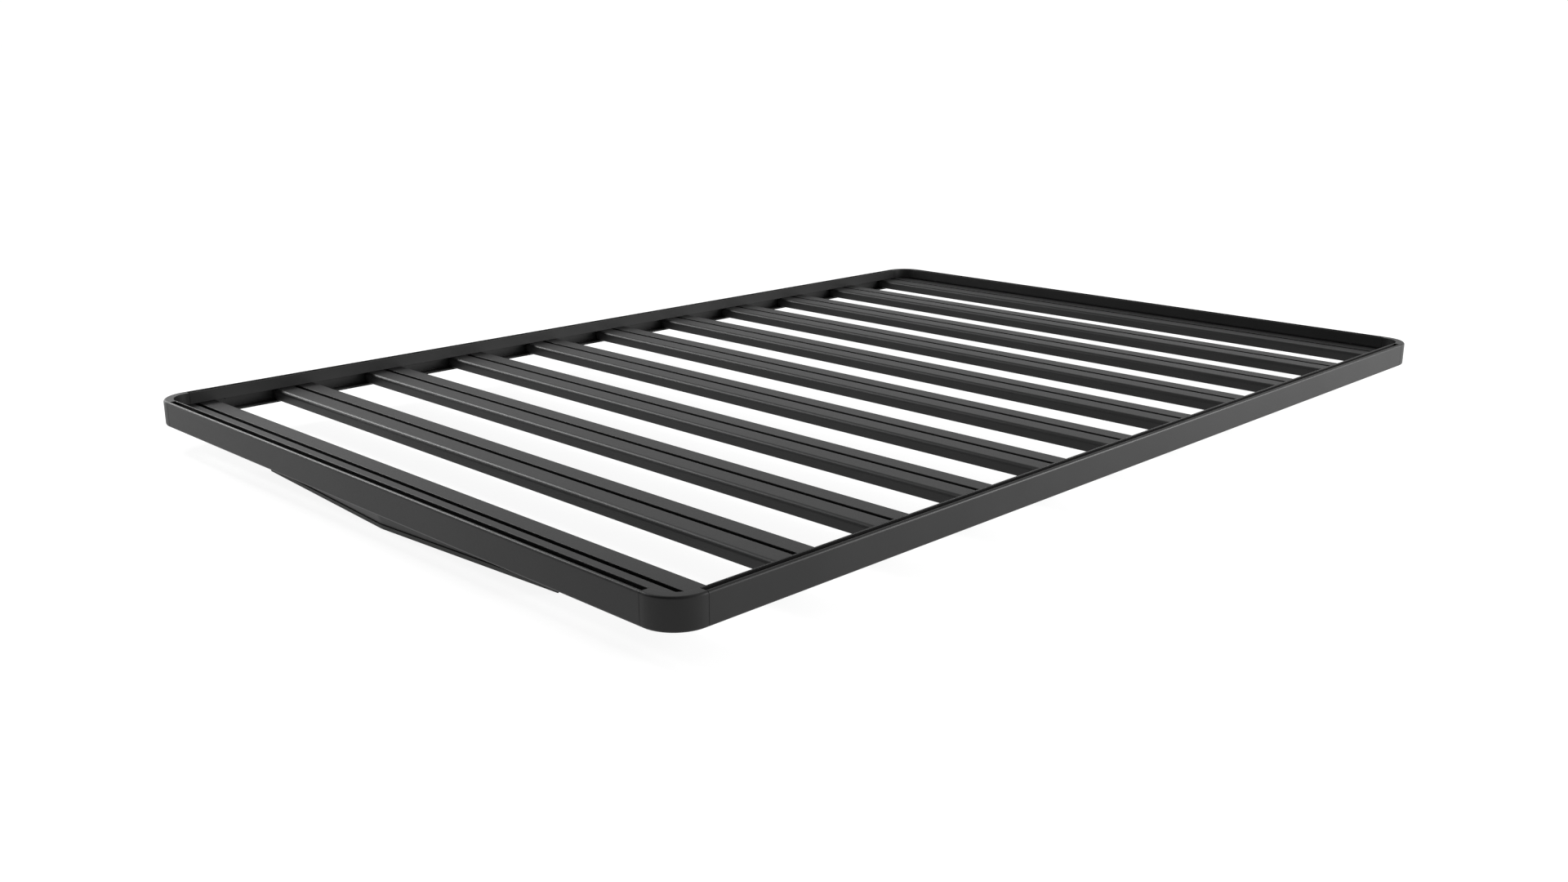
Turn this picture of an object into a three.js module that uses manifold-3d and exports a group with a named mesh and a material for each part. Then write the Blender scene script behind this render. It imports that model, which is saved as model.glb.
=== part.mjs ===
// Flat platform roof rack: a low extruded perimeter frame with cast corners, cross slats with a
// bolt channel above and below, and a wind deflector hung under the front end.
// Millimetres, +Z up. X runs across the rack and Y along it, with the front end at -Y.
// Left and right are as seen from the front end, looking along +Y: left is -X.
import * as THREE from "three";
import { mergeVertices } from "three/addons/utils/BufferGeometryUtils.js";
import Module from "manifold-3d";

const wasm = await Module();
wasm.setup();

// Driving dimensions of the whole rack.
const WIDTH = 1465;
const LENGTH = 2166;
const FRAME_HEIGHT = 48;
const CORNER_RADIUS = 56;
const SLAT_COUNT = 11;
const SLAT_PITCH = 202;
const SLAT_WIDTH = 86.5;
const SLAT_HEIGHT = 21.4;
const DECK_DROP = 22.5; // from the top of the frame down to the slats' tops

// Clearances. Pieces that touch keep GAP between them.
const GAP = 0.3;
const HOLE_CLEARANCE = 0.4;

// Perimeter rail section. u is measured inboard from the outer face, z up from the underside.
const WALL = 3;
const FLANGE_WIDTH = 22;
const FLANGE_THICKNESS = FRAME_HEIGHT - DECK_DROP - SLAT_HEIGHT - GAP;
const TOP_WIDTH = 18; // outer face to the inner face of the top trough
const TROUGH_WALL = 2.2;
const BEAD_WIDTH = 5.5;
const BEAD_DEPTH = 4;
const LIP_RADIUS = 0.8;
const OUTER_RADIUS = 4;
const WEB_UNDERSIDE = FRAME_HEIGHT - DECK_DROP + GAP;
const WEB_THICKNESS = 2.7;
const TROUGH_FLOOR = WEB_UNDERSIDE + WEB_THICKNESS;

// Cast corners: a closed top, short straight ends and a spigot into each rail's top trough.
const CORNER_STUB = 5;
const CORNER_REACH = CORNER_RADIUS + CORNER_STUB;
const CORNER_TOP_THICKNESS = 4;
const SPIGOT_LENGTH = 84;
const SPIGOT_HEIGHT = 12;
const CORNER_SCREW_REACH = 72; // from the joint to the screw
const CORNER_SCREW_RADIUS = 2.5;
const CORNER_SCREW_DEPTH = 9; // thread length inside the spigot

// Slat section: four closed chambers and a T-shaped bolt channel above and below.
const SLAT_END = 10.6; // from the rail's outer face to the slat's end
const SLAT_TOP_RADIUS = 7;
const SLAT_BOTTOM_RADIUS = 2;
const SLAT_SKIN = 2.2;
const SLOT_MOUTH = 9;
const SLOT_LIP = 2.5;
const SLOT_WIDTH = 16;
const TOP_SLOT_DEPTH = 9.9;
const BOTTOM_SLOT_DEPTH = 9.3;
const RIB_THICKNESS = 2;

// Bolts. Each clamp bolt runs up through a flange or a bracket's foot into a nut in a slat's lower channel.
const BOLT_RADIUS = 3;
const BOLT_INSET = 16.5; // from the rail's outer face to the bolt
const HEAD_RADIUS = 5.4;
const HEAD_HEIGHT = 3.3;
const NUT_WIDTH = 12;
const NUT_HEIGHT = 4.5;
const TIP_REACH = 1; // how far a bolt's tip stands past its nut
const CROWN_RADIUS = 0.55; // flat of a button head, as a share of its radius
const CROWN_RIM = 0.35; // upright rim of a button head, as a share of its height
const ROUND_SIDES = 10;
const HEXAGON_SIDES = 6;

// Wind deflector: a thin plate folded in the middle. Its two arms sweep back towards their ends and
// lean back towards their level lower edge, which carries a rubber trim. Each arm has a bracket.
const DEFLECTOR_SETBACK = 39; // from the front face to the lower edge at the fold
const DEFLECTOR_DROP = 42; // from the frame's underside to the plate's lower edge
const DEFLECTOR_HALF_WIDTH = 420; // from the fold to each arm's end, across the rack
const DEFLECTOR_LEAN = THREE.MathUtils.degToRad(15);
const DEFLECTOR_SWEEP = THREE.MathUtils.degToRad(3.8);
const PLATE_THICKNESS = 2;
const PLATE_HEIGHT = 45;
const END_TAPER = 22;
const FOLD_OVERRUN = 20; // length that each arm is drawn past the fold before it is mitred
const TRIM_WALL = 1.5;
const TRIM_COVER = 7;
const TRIM_END = 4;
const BRACKET_PLACE = 260; // along each arm, from the fold
const BRACKET_WIDTH = 42;
const BRACKET_FOOT = 19; // how far the foot reaches behind the bolt
const BRACKET_LEG_START = 24;
const PLATE_BOLT_HEIGHT = 33;
const PLATE_BOLT_RADIUS = 2.5;
const PLATE_HEAD_RADIUS = 4.8;
const PLATE_HEAD_HEIGHT = 2.6;
const PLATE_NUT_HEIGHT = 4;

const QUARTER = Math.PI / 2;
const CURVE_SEGMENTS = 3;
const CORNER_SEGMENTS = 40; // round a full turn
const WELD = 0.05; // how far joined shapes run into each other
const SAME_POINT = 1e-4; // vertices closer than this are one

const blackCoat = { color: 0x1b1c1d, roughness: 0.62, metalness: 0.15 };
const blackSteel = { color: 0x202122, roughness: 0.42, metalness: 0.7 };
const blackRubber = { color: 0x101010, roughness: 0.9, metalness: 0 };

// Turns a three.js geometry into a manifold solid, and back.
function toSolid(geometry) {
  const bare = geometry.clone();
  bare.deleteAttribute("normal");
  bare.deleteAttribute("uv");
  const welded = mergeVertices(bare, SAME_POINT);
  const mesh = new wasm.Mesh({
    numProp: 3,
    vertProperties: new Float32Array(welded.attributes.position.array),
    triVerts: new Uint32Array(welded.index.array),
  });
  return new wasm.Manifold(mesh);
}

function toGeometry(solid) {
  const mesh = solid.getMesh();
  const geometry = new THREE.BufferGeometry();
  geometry.setAttribute("position", new THREE.BufferAttribute(mesh.vertProperties, 3));
  geometry.setIndex(new THREE.BufferAttribute(mesh.triVerts, 1));
  geometry.computeVertexNormals();
  return geometry;
}

function cut(geometry, cutters) {
  let solid = toSolid(geometry);
  for (const cutter of cutters) {
    solid = solid.subtract(toSolid(cutter));
  }
  return toGeometry(solid);
}

function join(geometries) {
  let solid = toSolid(geometries[0]);
  for (const geometry of geometries.slice(1)) {
    solid = solid.add(toSolid(geometry));
  }
  return toGeometry(solid);
}

// A box from its lowest corner and its size.
function boxAt(x, y, z, width, depth, height) {
  const box = new THREE.BoxGeometry(width, depth, height);
  return box.translate(x + width / 2, y + depth / 2, z + height / 2);
}

// An upright round bar.
function barAt(x, y, z, radius, height) {
  const bar = new THREE.CylinderGeometry(radius, radius, height, ROUND_SIDES);
  bar.rotateX(QUARTER);
  return bar.translate(x, y, z + height / 2);
}

function extrude(shape, depth) {
  return new THREE.ExtrudeGeometry(shape, {
    depth,
    bevelEnabled: false,
    curveSegments: CURVE_SEGMENTS,
  });
}

// Extrudes a section whose x is inboard and y is up. The bar then runs along Y, centred on it.
function extrudeRail(shape, length) {
  const bar = extrude(shape, length);
  bar.rotateX(QUARTER);
  return bar.translate(0, length / 2, 0);
}

function makeMesh(name, geometry, finish) {
  const mesh = new THREE.Mesh(geometry, new THREE.MeshStandardMaterial(finish));
  mesh.name = name;
  return mesh;
}

// The outer wall's outline from the flange's inner edge round to the top, shared by rails and corners.
function startOuterWall(shape) {
  shape.moveTo(FLANGE_WIDTH, FLANGE_THICKNESS);
  shape.lineTo(WALL, FLANGE_THICKNESS);
}

function finishOuterWall(shape) {
  shape.absarc(OUTER_RADIUS, FRAME_HEIGHT - OUTER_RADIUS, OUTER_RADIUS, QUARTER, Math.PI, false);
  shape.absarc(OUTER_RADIUS, OUTER_RADIUS, OUTER_RADIUS, Math.PI, Math.PI + QUARTER, false);
  shape.lineTo(FLANGE_WIDTH, 0);
  shape.closePath();
}

// Rail: slat channel open inboard below, open trough above, beaded outer lip.
function railSection() {
  const trough = TOP_WIDTH - TROUGH_WALL;
  const shape = new THREE.Shape();
  startOuterWall(shape);
  shape.lineTo(WALL, WEB_UNDERSIDE);
  shape.lineTo(TOP_WIDTH, WEB_UNDERSIDE);
  shape.lineTo(TOP_WIDTH, FRAME_HEIGHT - LIP_RADIUS);
  shape.absarc(TOP_WIDTH - LIP_RADIUS, FRAME_HEIGHT - LIP_RADIUS, LIP_RADIUS, 0, QUARTER, false);
  shape.lineTo(trough, FRAME_HEIGHT);
  shape.lineTo(trough, TROUGH_FLOOR);
  shape.lineTo(WALL, TROUGH_FLOOR);
  shape.lineTo(WALL, FRAME_HEIGHT - BEAD_DEPTH);
  shape.lineTo(BEAD_WIDTH, FRAME_HEIGHT - BEAD_DEPTH);
  shape.lineTo(BEAD_WIDTH, FRAME_HEIGHT - LIP_RADIUS);
  shape.absarc(BEAD_WIDTH - LIP_RADIUS, FRAME_HEIGHT - LIP_RADIUS, LIP_RADIUS, 0, QUARTER, false);
  finishOuterWall(shape);
  return shape;
}

// Corner: the same outside, with a closed top and an open underside.
function cornerSection() {
  const shape = new THREE.Shape();
  startOuterWall(shape);
  shape.lineTo(WALL, FRAME_HEIGHT - CORNER_TOP_THICKNESS);
  shape.lineTo(TOP_WIDTH - WALL, FRAME_HEIGHT - CORNER_TOP_THICKNESS);
  shape.lineTo(TOP_WIDTH - WALL, WEB_UNDERSIDE);
  shape.lineTo(TOP_WIDTH, WEB_UNDERSIDE);
  shape.lineTo(TOP_WIDTH, FRAME_HEIGHT - LIP_RADIUS);
  shape.absarc(TOP_WIDTH - LIP_RADIUS, FRAME_HEIGHT - LIP_RADIUS, LIP_RADIUS, 0, QUARTER, false);
  finishOuterWall(shape);
  return shape;
}

// Slat outline, centred across its width, with its underside at zero.
function slatSection() {
  const half = SLAT_WIDTH / 2;
  const mouth = SLOT_MOUTH / 2;
  const slot = SLOT_WIDTH / 2;
  const shape = new THREE.Shape();
  shape.moveTo(half - SLAT_BOTTOM_RADIUS, 0);
  shape.absarc(half - SLAT_BOTTOM_RADIUS, SLAT_BOTTOM_RADIUS, SLAT_BOTTOM_RADIUS, -QUARTER, 0, false);
  shape.absarc(half - SLAT_TOP_RADIUS, SLAT_HEIGHT - SLAT_TOP_RADIUS, SLAT_TOP_RADIUS, 0, QUARTER, false);
  shape.lineTo(mouth, SLAT_HEIGHT);
  shape.lineTo(mouth, SLAT_HEIGHT - SLOT_LIP);
  shape.lineTo(slot, SLAT_HEIGHT - SLOT_LIP);
  shape.lineTo(slot, SLAT_HEIGHT - TOP_SLOT_DEPTH);
  shape.lineTo(-slot, SLAT_HEIGHT - TOP_SLOT_DEPTH);
  shape.lineTo(-slot, SLAT_HEIGHT - SLOT_LIP);
  shape.lineTo(-mouth, SLAT_HEIGHT - SLOT_LIP);
  shape.lineTo(-mouth, SLAT_HEIGHT);
  shape.absarc(
    SLAT_TOP_RADIUS - half, SLAT_HEIGHT - SLAT_TOP_RADIUS, SLAT_TOP_RADIUS, QUARTER, Math.PI, false,
  );
  shape.absarc(
    SLAT_BOTTOM_RADIUS - half, SLAT_BOTTOM_RADIUS, SLAT_BOTTOM_RADIUS, Math.PI, Math.PI + QUARTER, false,
  );
  shape.lineTo(-mouth, 0);
  shape.lineTo(-mouth, SLOT_LIP);
  shape.lineTo(-slot, SLOT_LIP);
  shape.lineTo(-slot, BOTTOM_SLOT_DEPTH);
  shape.lineTo(slot, BOTTOM_SLOT_DEPTH);
  shape.lineTo(slot, SLOT_LIP);
  shape.lineTo(mouth, SLOT_LIP);
  shape.lineTo(mouth, 0);
  shape.closePath();
  return shape;
}

// A slat along Y with four chambers through it, two on each side of the channels.
function slatGeometry(length) {
  const inner = SLOT_WIDTH / 2 + SLAT_SKIN;
  const outer = SLAT_WIDTH / 2 - SLAT_SKIN;
  const chamber = (outer - inner - RIB_THICKNESS) / 2;
  const height = SLAT_HEIGHT - 2 * SLAT_SKIN;
  const cutters = [inner, inner + chamber + RIB_THICKNESS, -outer, -inner - chamber].map((left) =>
    boxAt(left, -length / 2 - GAP, SLAT_SKIN, chamber, length + 2 * GAP, height),
  );
  return cut(extrudeRail(slatSection(), length), cutters);
}

const slatY = (index) => (index - (SLAT_COUNT - 1) / 2) * SLAT_PITCH;
const twoDigits = (number) => String(number).padStart(2, "0");

// A rail runs along Y with its outer face at x = 0. boltPlaces are where slat bolts pass its flange.
function railGeometry(length, boltPlaces) {
  const cutters = boltPlaces.map((y) =>
    barAt(BOLT_INSET, y, -GAP, BOLT_RADIUS + HOLE_CLEARANCE, FLANGE_THICKNESS + 2 * GAP),
  );
  const screwX = (WALL + TOP_WIDTH - TROUGH_WALL) / 2;
  const screwY = length / 2 + GAP - CORNER_SCREW_REACH;
  for (const y of [-screwY, screwY]) {
    const hole = CORNER_SCREW_RADIUS + HOLE_CLEARANCE;
    cutters.push(barAt(screwX, y, WEB_UNDERSIDE - GAP, hole, WEB_THICKNESS + 2 * GAP));
  }
  return cut(extrudeRail(railSection(), length), cutters);
}

// The corner at the front left, about the centre of its round. The others are turns of it.
function cornerGeometry() {
  const outline = cornerSection().getPoints(CURVE_SEGMENTS);
  const profile = outline.map((point) => new THREE.Vector2(CORNER_RADIUS - point.x, point.y));
  const ring = new THREE.LatheGeometry(profile.reverse(), CORNER_SEGMENTS);
  ring.rotateX(QUARTER);
  const span = 2 * CORNER_RADIUS;
  const quadrant = boxAt(-span, -span, -span, span, span, 2 * span);
  const bend = toSolid(ring).intersect(toSolid(quadrant));

  const sideStub = extrudeRail(cornerSection(), CORNER_STUB + WELD);
  sideStub.translate(-CORNER_RADIUS, (CORNER_STUB - WELD) / 2, 0);
  const frontStub = sideStub.clone();
  frontStub.applyMatrix4(new THREE.Matrix4().set(0, 1, 0, 0, 1, 0, 0, 0, 0, 0, 1, 0, 0, 0, 0, 1));
  const frontSolid = toSolid(reverseWinding(frontStub));

  const spigotWidth = TOP_WIDTH - TROUGH_WALL - WALL - 2 * GAP;
  const spigotX = WALL + GAP - CORNER_RADIUS;
  const spigotBase = TROUGH_FLOOR + GAP;
  const sideSpigot = boxAt(spigotX, 0, spigotBase, spigotWidth, CORNER_STUB + SPIGOT_LENGTH, SPIGOT_HEIGHT);
  const frontSpigot = boxAt(0, spigotX, spigotBase, CORNER_STUB + SPIGOT_LENGTH, spigotWidth, SPIGOT_HEIGHT);
  const screwPlace = spigotX + spigotWidth / 2;
  const screwReach = CORNER_STUB + CORNER_SCREW_REACH;
  const threadRadius = CORNER_SCREW_RADIUS + GAP;
  const threadDepth = CORNER_SCREW_DEPTH + 2 * GAP;
  const sideThread = barAt(screwPlace, screwReach, spigotBase - GAP, threadRadius, threadDepth);
  const frontThread = barAt(screwReach, screwPlace, spigotBase - GAP, threadRadius, threadDepth);

  const solid = bend
    .add(toSolid(sideStub))
    .add(frontSolid)
    .add(toSolid(sideSpigot))
    .add(toSolid(frontSpigot))
    .subtract(toSolid(sideThread))
    .subtract(toSolid(frontThread));
  return toGeometry(solid);
}

// Swaps two corners of every triangle, for an unindexed geometry that has been mirrored.
function reverseWinding(geometry) {
  const position = geometry.attributes.position;
  const swapped = new Float32Array(position.array.length);
  const order = [0, 2, 1];
  for (let vertex = 0; vertex < position.count; vertex += 1) {
    const source = vertex - (vertex % 3) + order[vertex % 3];
    swapped.set([position.getX(source), position.getY(source), position.getZ(source)], 3 * vertex);
  }
  const mirrored = new THREE.BufferGeometry();
  mirrored.setAttribute("position", new THREE.BufferAttribute(swapped, 3));
  return mirrored;
}

// Button-head bolt about Z: the head hangs below headTop and the shank rises to tip.
function boltGeometry(shankRadius, headRadius, headHeight, headTop, tip) {
  const profile = [
    new THREE.Vector2(0, headTop - headHeight),
    new THREE.Vector2(headRadius * CROWN_RADIUS, headTop - headHeight),
    new THREE.Vector2(headRadius, headTop - headHeight * CROWN_RIM),
    new THREE.Vector2(headRadius, headTop),
    new THREE.Vector2(shankRadius, headTop),
    new THREE.Vector2(shankRadius, tip),
    new THREE.Vector2(0, tip),
  ];
  const bolt = new THREE.LatheGeometry(profile, ROUND_SIDES);
  return bolt.rotateX(QUARTER);
}

// A clamp bolt with the nut that it is screwed into inside a slat's lower channel.
function clampBoltGeometry() {
  const nutBase = FLANGE_THICKNESS + GAP + SLOT_LIP + GAP;
  const tip = nutBase + NUT_HEIGHT + TIP_REACH;
  const bolt = boltGeometry(BOLT_RADIUS, HEAD_RADIUS, HEAD_HEIGHT, -GAP, tip);
  const nut = boxAt(-NUT_WIDTH / 2, -NUT_WIDTH / 2, nutBase, NUT_WIDTH, NUT_WIDTH, NUT_HEIGHT);
  return join([bolt, nut]);
}

// The turn that stands an arm up from XY: its lean, then its sweep. sign is 1 for the right arm.
function armTurn(sign) {
  const lean = new THREE.Matrix4().makeRotationX(QUARTER + DEFLECTOR_LEAN);
  return new THREE.Matrix4().makeRotationZ(sign * DEFLECTOR_SWEEP).multiply(lean);
}

// Joins an arm, drawn in XY from past the fold to its right end, to its mirror image.
function fold(arm) {
  const reach = 2 * DEFLECTOR_HALF_WIDTH;
  const rightHalf = boxAt(0, -reach, -reach, reach, 2 * reach, 2 * reach);
  const right = toSolid(arm.clone().applyMatrix4(armTurn(1))).intersect(toSolid(rightHalf));
  return toGeometry(right.add(right.mirror([1, 0, 0])));
}

// The plate stands with its front face's lower edge along the arms, at height zero.
function plateGeometry() {
  const end = DEFLECTOR_HALF_WIDTH / Math.cos(DEFLECTOR_SWEEP);
  const shape = new THREE.Shape();
  shape.moveTo(-FOLD_OVERRUN, 0);
  shape.lineTo(end, 0);
  shape.lineTo(end - END_TAPER, PLATE_HEIGHT);
  shape.lineTo(-FOLD_OVERRUN, PLATE_HEIGHT);
  shape.closePath();
  const hole = new THREE.Path();
  const radius = PLATE_BOLT_RADIUS + HOLE_CLEARANCE;
  hole.absarc(BRACKET_PLACE, PLATE_BOLT_HEIGHT, radius, 0, 2 * Math.PI, true);
  shape.holes.push(hole);
  return fold(extrude(shape, PLATE_THICKNESS).translate(0, 0, -PLATE_THICKNESS));
}

// Rubber trim: a U that is pushed over the plate's lower edge.
function trimGeometry() {
  const end = DEFLECTOR_HALF_WIDTH / Math.cos(DEFLECTOR_SWEEP) - TRIM_END;
  const length = FOLD_OVERRUN + end;
  const floor = -GAP - TRIM_WALL;
  const middle = -PLATE_THICKNESS / 2;
  const outer = PLATE_THICKNESS / 2 + GAP + TRIM_WALL;
  const inner = PLATE_THICKNESS / 2 + GAP;
  const body = boxAt(-FOLD_OVERRUN, floor, middle - outer, length, TRIM_COVER - floor, 2 * outer);
  const slotLength = length + 2 * TRIM_END;
  const slot = boxAt(
    -FOLD_OVERRUN - TRIM_END, -GAP, middle - inner, slotLength, TRIM_COVER + 2 * GAP, 2 * inner,
  );
  return fold(cut(body, [slot]));
}

// Plate bolt with its nut, about Z, with the head in front of the plate.
function plateBoltGeometry() {
  const nutFace = PLATE_THICKNESS + GAP + FLANGE_THICKNESS + GAP;
  const tip = nutFace + PLATE_NUT_HEIGHT + TIP_REACH;
  const bolt = boltGeometry(PLATE_BOLT_RADIUS, PLATE_HEAD_RADIUS, PLATE_HEAD_HEIGHT, -GAP, tip);
  const nut = new THREE.CylinderGeometry(
    PLATE_HEAD_RADIUS, PLATE_HEAD_RADIUS, PLATE_NUT_HEIGHT, HEXAGON_SIDES,
  );
  nut.rotateX(QUARTER);
  nut.translate(0, 0, nutFace + PLATE_NUT_HEIGHT / 2);
  return join([bolt, nut]).rotateX(Math.PI);
}

// Heights below are above the plate's lower edge, and y is square to the arm in plan.
// A point in Y and Z from its place on the arm: rise up its face and depth behind that face.
function behindPlate(rise, depth) {
  const sine = Math.sin(DEFLECTOR_LEAN);
  const cosine = Math.cos(DEFLECTOR_LEAN);
  return new THREE.Vector2(-rise * sine + depth * cosine, rise * cosine + depth * sine);
}

// How far up the plate a line at that depth behind it reaches height z.
function riseAt(z, depth) {
  return (z - depth * Math.sin(DEFLECTOR_LEAN)) / Math.cos(DEFLECTOR_LEAN);
}

// From the arm's line back to the front slat's channel, square to the arm at the bracket.
const channelBehindFold = slatY(0) + LENGTH / 2 - DEFLECTOR_SETBACK;
const BOLT_BEHIND_ARM =
  (channelBehindFold - BRACKET_PLACE * Math.sin(DEFLECTOR_SWEEP)) / Math.cos(DEFLECTOR_SWEEP);

// Angle bracket: a level foot under the front slat and a leaning leg behind the plate.
function bracketGeometry() {
  const face = PLATE_THICKNESS + GAP;
  const back = face + FLANGE_THICKNESS;
  const rear = BOLT_BEHIND_ARM + BRACKET_FOOT;
  const footTop = DEFLECTOR_DROP + FLANGE_THICKNESS;
  const outline = [
    behindPlate(BRACKET_LEG_START, face),
    behindPlate(BRACKET_LEG_START, back),
    behindPlate(riseAt(DEFLECTOR_DROP, back), back),
    new THREE.Vector2(rear, DEFLECTOR_DROP),
    new THREE.Vector2(rear, footTop),
    behindPlate(riseAt(footTop, face), face),
  ];
  const bar = extrude(new THREE.Shape(outline), BRACKET_WIDTH);
  const turn = new THREE.Matrix4().makeBasis(
    new THREE.Vector3(0, 1, 0),
    new THREE.Vector3(0, 0, 1),
    new THREE.Vector3(1, 0, 0),
  );
  bar.applyMatrix4(turn);
  bar.translate(-BRACKET_WIDTH / 2, 0, 0);
  const reach = FLANGE_THICKNESS + 2 * GAP;
  const footHole = barAt(0, BOLT_BEHIND_ARM, DEFLECTOR_DROP - GAP, BOLT_RADIUS + HOLE_CLEARANCE, reach);
  const legHole = barAt(0, 0, face - GAP, PLATE_BOLT_RADIUS + HOLE_CLEARANCE, reach);
  const bolt = behindPlate(PLATE_BOLT_HEIGHT, 0);
  legHole.rotateX(-QUARTER + DEFLECTOR_LEAN);
  legHole.translate(0, bolt.x, bolt.y);
  return cut(bar, [footHole, legHole]);
}

const rack = new THREE.Group();
const frame = new THREE.Group();
rack.add(frame);

// Four rails. turn is the angle from +X to the rail's inboard direction.
const slatPlaces = [...Array(SLAT_COUNT).keys()].map(slatY);
const sideLength = LENGTH - 2 * CORNER_REACH - 2 * GAP;
const crossLength = WIDTH - 2 * CORNER_REACH - 2 * GAP;
const rails = [
  { name: "left_rail", turn: 0, offset: WIDTH / 2, length: sideLength, bolts: slatPlaces },
  { name: "front_rail", turn: QUARTER, offset: LENGTH / 2, length: crossLength, bolts: [] },
  { name: "right_rail", turn: Math.PI, offset: WIDTH / 2, length: sideLength, bolts: slatPlaces },
  { name: "rear_rail", turn: -QUARTER, offset: LENGTH / 2, length: crossLength, bolts: [] },
];
for (const rail of rails) {
  const mesh = makeMesh(rail.name, railGeometry(rail.length, rail.bolts), blackCoat);
  mesh.rotation.z = rail.turn;
  mesh.position.set(-rail.offset * Math.cos(rail.turn), -rail.offset * Math.sin(rail.turn), 0);
  frame.add(mesh);
}

// Four corners, each with the two screws that hold its spigots.
const corners = [
  { name: "front_left", x: -1, y: -1, turn: 0 },
  { name: "front_right", x: 1, y: -1, turn: QUARTER },
  { name: "rear_right", x: 1, y: 1, turn: Math.PI },
  { name: "rear_left", x: -1, y: 1, turn: -QUARTER },
];
const screwInset = (WALL + TOP_WIDTH - TROUGH_WALL) / 2 - CORNER_RADIUS;
const screwReach = CORNER_STUB + CORNER_SCREW_REACH;
const screwTip = TROUGH_FLOOR + GAP + CORNER_SCREW_DEPTH;
for (const corner of corners) {
  const group = new THREE.Group();
  group.position.set(
    corner.x * (WIDTH / 2 - CORNER_RADIUS),
    corner.y * (LENGTH / 2 - CORNER_RADIUS),
    0,
  );
  group.rotation.z = corner.turn;
  group.add(makeMesh(`${corner.name}_corner`, cornerGeometry(), blackCoat));
  for (const [letter, x, y] of [["a", screwInset, screwReach], ["b", screwReach, screwInset]]) {
    const screw = boltGeometry(
      CORNER_SCREW_RADIUS, PLATE_HEAD_RADIUS, PLATE_HEAD_HEIGHT, WEB_UNDERSIDE - GAP, screwTip,
    );
    const mesh = makeMesh(`${corner.name}_corner_screw_${letter}`, screw, blackSteel);
    mesh.position.set(x, y, 0);
    group.add(mesh);
  }
  frame.add(group);
}

// Slats, front to back, each with a clamp bolt at either end.
const slatLength = WIDTH - 2 * SLAT_END;
for (let index = 0; index < SLAT_COUNT; index += 1) {
  const number = twoDigits(index + 1);
  const slat = makeMesh(`slat_${number}`, slatGeometry(slatLength), blackCoat);
  slat.rotation.z = QUARTER;
  slat.position.set(0, slatY(index), FLANGE_THICKNESS + GAP);
  frame.add(slat);
  for (const [side, sign] of [["left", -1], ["right", 1]]) {
    const bolt = makeMesh(`slat_${number}_${side}_bolt`, clampBoltGeometry(), blackSteel);
    bolt.position.set(sign * (WIDTH / 2 - BOLT_INSET), slatY(index), 0);
    frame.add(bolt);
  }
}

// Wind deflector, about the foot of its fold. Each arm's group turns with the arm's sweep.
const deflector = new THREE.Group();
deflector.position.set(0, -LENGTH / 2 + DEFLECTOR_SETBACK, -DEFLECTOR_DROP);
deflector.add(makeMesh("deflector_plate", plateGeometry(), blackCoat));
deflector.add(makeMesh("deflector_edge_trim", trimGeometry(), blackRubber));
for (const [side, sign] of [["left", -1], ["right", 1]]) {
  const arm = new THREE.Group();
  arm.rotation.z = sign * DEFLECTOR_SWEEP;
  const place = sign * BRACKET_PLACE;
  const bracket = makeMesh(`deflector_${side}_bracket`, bracketGeometry(), blackCoat);
  bracket.position.x = place;
  const plateBolt = makeMesh(`deflector_${side}_plate_bolt`, plateBoltGeometry(), blackSteel);
  const spot = behindPlate(PLATE_BOLT_HEIGHT, 0);
  plateBolt.position.set(place, spot.x, spot.y);
  plateBolt.rotation.x = QUARTER + DEFLECTOR_LEAN;
  const slatBolt = makeMesh(`deflector_${side}_slat_bolt`, clampBoltGeometry(), blackSteel);
  slatBolt.position.set(place, BOLT_BEHIND_ARM, DEFLECTOR_DROP);
  slatBolt.rotation.z = -sign * DEFLECTOR_SWEEP;
  arm.add(bracket, plateBolt, slatBolt);
  deflector.add(arm);
}
frame.add(deflector);

// The lowest point of the trim stands at z = 0.
frame.updateMatrixWorld(true);
frame.position.z = -new THREE.Box3().setFromObject(frame).min.z;

export default rack;
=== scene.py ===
"""Looks for a flat roof platform rack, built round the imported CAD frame.

Metres in the CAD frame: X across the rack, Y along it with the front end at -Y, +Z up.
Sections are drawn in millimetres and scaled once, where their matrix places them.
"""
import math

import bmesh
import bpy
from mathutils import Matrix, Vector
from mathutils.geometry import tessellate_polygon


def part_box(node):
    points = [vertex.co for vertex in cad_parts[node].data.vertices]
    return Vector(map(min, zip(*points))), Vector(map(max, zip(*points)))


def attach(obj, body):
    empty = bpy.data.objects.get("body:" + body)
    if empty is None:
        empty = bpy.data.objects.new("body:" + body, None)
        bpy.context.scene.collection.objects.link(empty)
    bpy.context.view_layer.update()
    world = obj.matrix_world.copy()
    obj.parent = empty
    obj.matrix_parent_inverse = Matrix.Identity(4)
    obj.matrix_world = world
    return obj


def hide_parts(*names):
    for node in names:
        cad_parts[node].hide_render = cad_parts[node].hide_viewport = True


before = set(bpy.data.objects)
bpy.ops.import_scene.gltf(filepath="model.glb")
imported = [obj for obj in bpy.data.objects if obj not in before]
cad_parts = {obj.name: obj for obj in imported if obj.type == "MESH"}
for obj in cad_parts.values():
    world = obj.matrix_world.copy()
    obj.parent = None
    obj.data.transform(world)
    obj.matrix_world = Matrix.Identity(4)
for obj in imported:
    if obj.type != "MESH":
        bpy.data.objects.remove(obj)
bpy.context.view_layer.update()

MM = 0.001
X_AXIS = Vector((1, 0, 0))
Y_AXIS = Vector((0, 1, 0))
Z_AXIS = Vector((0, 0, 1))

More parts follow.
